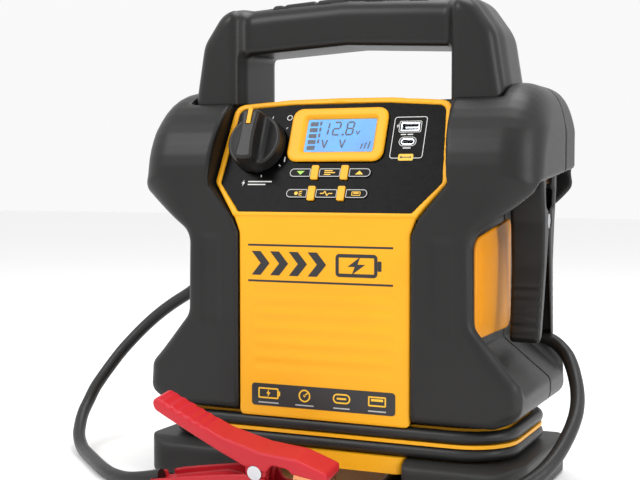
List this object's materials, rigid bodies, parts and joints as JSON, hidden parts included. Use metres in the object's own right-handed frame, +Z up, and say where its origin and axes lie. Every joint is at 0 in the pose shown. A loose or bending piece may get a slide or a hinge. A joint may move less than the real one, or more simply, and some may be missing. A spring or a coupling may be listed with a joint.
{
  "type": "jump starter pack",
  "caption": "Portable jump starter pack with air compressor: waisted black and yellow case, carry handle, rotary switch, display, battery clamps on leads.",
  "frame": {"origin": "centre of the pack's footprint, on the floor it stands on; the free leads and their clamps aren't counted", "axes": "+X to the right seen from the front, +Y to the back, +Z up; the control panel faces -Y"},
  "size_m": [0.4471, 0.2255, 0.3714],
  "materials": {
    "black_plastic": "fine-grained moulded ABS",
    "yellow_plastic": "satin moulded ABS",
    "red_plastic": "satin moulded plastic",
    "gloss_panel": "gloss black with pale printed marks",
    "display": "lit liquid crystal display behind a clear window",
    "steel": "plain bright steel",
    "copper": "copper-plated steel and copper bar",
    "brass": "turned brass",
    "rubber": "soft matt rubber and cable jacket",
    "board": "green circuit board",
    "lens": "clear polycarbonate",
    "inner_plastic": "moulded nylon",
    "aluminium": "die-cast"
  },
  "bodies": {
    "pack": {"front_shell": "black_plastic", "rear_shell": "black_plastic", "fascia": "yellow_plastic", "control_panel": "gloss_panel", "lcd_bezel": "yellow_plastic", "lcd_window": "display", "lcd_module": "steel", "button_dividers": "yellow_plastic", "rotary_switch": "inner_plastic", "usb_a_port": "steel", "usb_c_port": "steel", "front_board": "board", "carry_handle": "black_plastic", "grip_pad": "rubber", "base_tray": "yellow_plastic", "left_foot": "black_plastic", "right_foot": "black_plastic", "foot_pads": "rubber", "left_side_panel": "yellow_plastic", "right_side_panel": "yellow_plastic", "clamp_tabs": "steel", "rear_cover": "yellow_plastic", "rear_screws": "steel", "charge_inlet": "inner_plastic", "work_light_lens": "lens", "work_light_board": "board", "battery": "inner_plastic", "battery_terminals": "copper", "main_board": "board", "compressor_motor": "steel", "compressor_pump": "aluminium", "air_hose": "rubber", "hose_fitting": "brass", "hose_nozzle": "inner_plastic", "red_clamp_lower": "red_plastic", "red_clamp_fittings": "steel", "red_jaw_lower": "copper", "red_lead": "rubber", "black_clamp_rear": "black_plastic", "black_clamp_fittings": "steel", "black_jaw_rear": "copper", "black_lead": "rubber", "lead_glands": "rubber"},
    "knob": {"knob": "black_plastic", "knob_pointer": "yellow_plastic", "knob_shaft": "steel"},
    "charge_cover": {"charge_cover": "black_plastic"},
    "nozzle_lever": {"nozzle_lever": "steel"},
    "motor_pinion": {"motor_pinion": "brass"},
    "crank_gear": {"crank_gear": "inner_plastic"},
    "red_upper_arm": {"red_clamp_upper": "red_plastic", "red_jaw_upper": "copper"},
    "black_front_arm": {"black_clamp_front": "black_plastic", "black_jaw_front": "copper"},
    "button_down": {"button_down": "gloss_panel"},
    "button_air": {"button_air": "gloss_panel"},
    "button_up": {"button_up": "gloss_panel"},
    "button_light": {"button_light": "gloss_panel"},
    "button_test": {"button_test": "gloss_panel"},
    "button_usb": {"button_usb": "gloss_panel"}
  },
  "joints": [
    {"name": "knob_turn", "type": "hinge", "parent": "pack", "child": "knob", "pos_m": [-0.0615, -0.04772, 0.2555], "axis": [0, 0.9205, -0.3907], "range_deg": [0, 90]},
    {"name": "charge_cover_hinge", "type": "hinge", "parent": "pack", "child": "charge_cover", "pos_m": [-0.072, 0.0754, 0.1106], "axis": [1, 0, 0], "range_deg": [0, 110]},
    {"name": "nozzle_lever_hinge", "type": "hinge", "parent": "pack", "child": "nozzle_lever", "pos_m": [-0.1433, 0.018, 0.0476], "axis": [0, 0, -1], "range_deg": [0, 90]},
    {"name": "crank_gear_spin", "type": "hinge", "parent": "pack", "child": "crank_gear", "pos_m": [0, 0.052, 0.1328], "axis": [1, 0, 0], "continuous": true},
    {"name": "motor_pinion_spin", "type": "hinge", "parent": "pack", "child": "motor_pinion", "pos_m": [0, 0.052, 0.152], "axis": [1, 0, 0], "continuous": true},
    {"name": "red_clamp_pivot", "type": "hinge", "parent": "pack", "child": "red_upper_arm", "pos_m": [-0.022, -0.126, 0.0275], "axis": [0, -0.9877, -0.1564], "range_deg": [0, 20], "stiffness_Nm_per_rad": 0.8, "springref_deg": -34.38},
    {"name": "black_clamp_pivot", "type": "hinge", "parent": "pack", "child": "black_front_arm", "pos_m": [0.138, 0.008, 0.2], "axis": [1, 0, 0], "range_deg": [0, 7], "stiffness_Nm_per_rad": 0.8, "springref_deg": -51.57},
    {"name": "button_down_press", "type": "slide", "parent": "pack", "child": "button_down", "axis": [0, 0.9205, -0.3907], "range_m": [0, 0.001], "stiffness_N_per_m": 400},
    {"name": "button_air_press", "type": "slide", "parent": "pack", "child": "button_air", "axis": [0, 0.9205, -0.3907], "range_m": [0, 0.001], "stiffness_N_per_m": 400},
    {"name": "button_up_press", "type": "slide", "parent": "pack", "child": "button_up", "axis": [0, 0.9205, -0.3907], "range_m": [0, 0.001], "stiffness_N_per_m": 400},
    {"name": "button_light_press", "type": "slide", "parent": "pack", "child": "button_light", "axis": [0, 0.9205, -0.3907], "range_m": [0, 0.001], "stiffness_N_per_m": 400},
    {"name": "button_test_press", "type": "slide", "parent": "pack", "child": "button_test", "axis": [0, 0.9205, -0.3907], "range_m": [0, 0.001], "stiffness_N_per_m": 400},
    {"name": "button_usb_press", "type": "slide", "parent": "pack", "child": "button_usb", "axis": [0, 0.9205, -0.3907], "range_m": [0, 0.001], "stiffness_N_per_m": 400}
  ],
  "couplings": [
    {"joint": "motor_pinion_spin", "follows": "crank_gear_spin", "ratio": -3}
  ]
}
